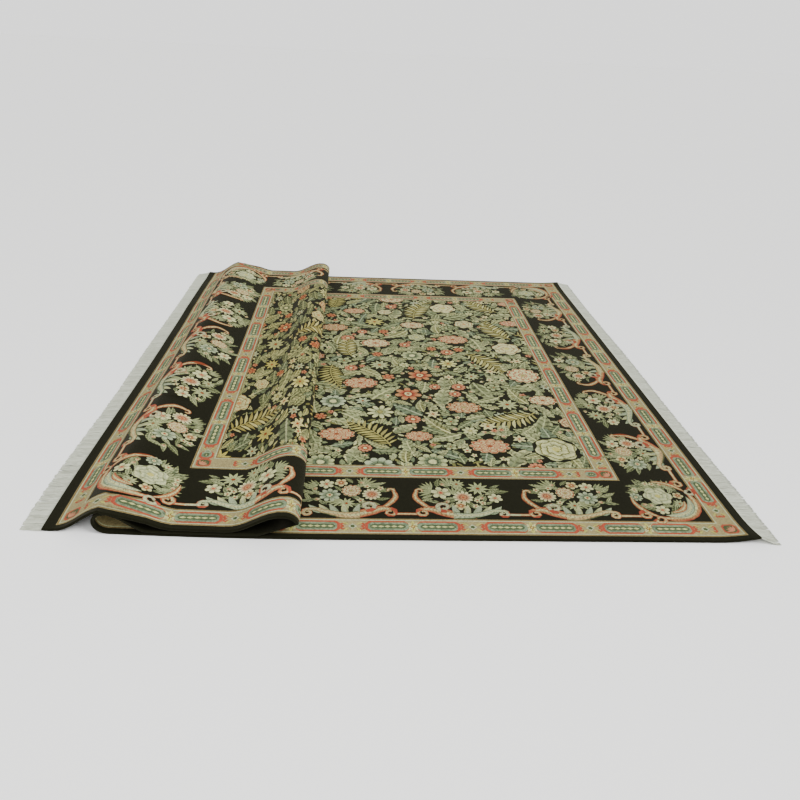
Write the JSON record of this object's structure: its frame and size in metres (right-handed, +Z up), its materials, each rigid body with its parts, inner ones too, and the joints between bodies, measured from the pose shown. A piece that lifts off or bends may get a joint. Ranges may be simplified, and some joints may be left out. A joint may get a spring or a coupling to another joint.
{
  "type": "pakistani rug",
  "caption": "Hand-knotted wool floor rug with flowered field and borders and cotton fringes at both ends, lying on a floor with one S-shaped fold.",
  "frame": {"origin": "on the floor, under the middle of the rug's bounding box", "axes": "+X from the folded left end to the flat right end, +Y across the rug's width, +Z up"},
  "size_m": [2.4978, 2.74, 0.0983],
  "materials": {
    "wool_pile": "matt knotted wool pile, black ground with sage, cream, rose and gold flowers",
    "cotton_fringe": "matt off-white cotton yarn"
  },
  "bodies": {
    "root": {"rug": "wool_pile", "fringe_left": "cotton_fringe", "fringe_right": "cotton_fringe"}
  },
  "joints": []
}
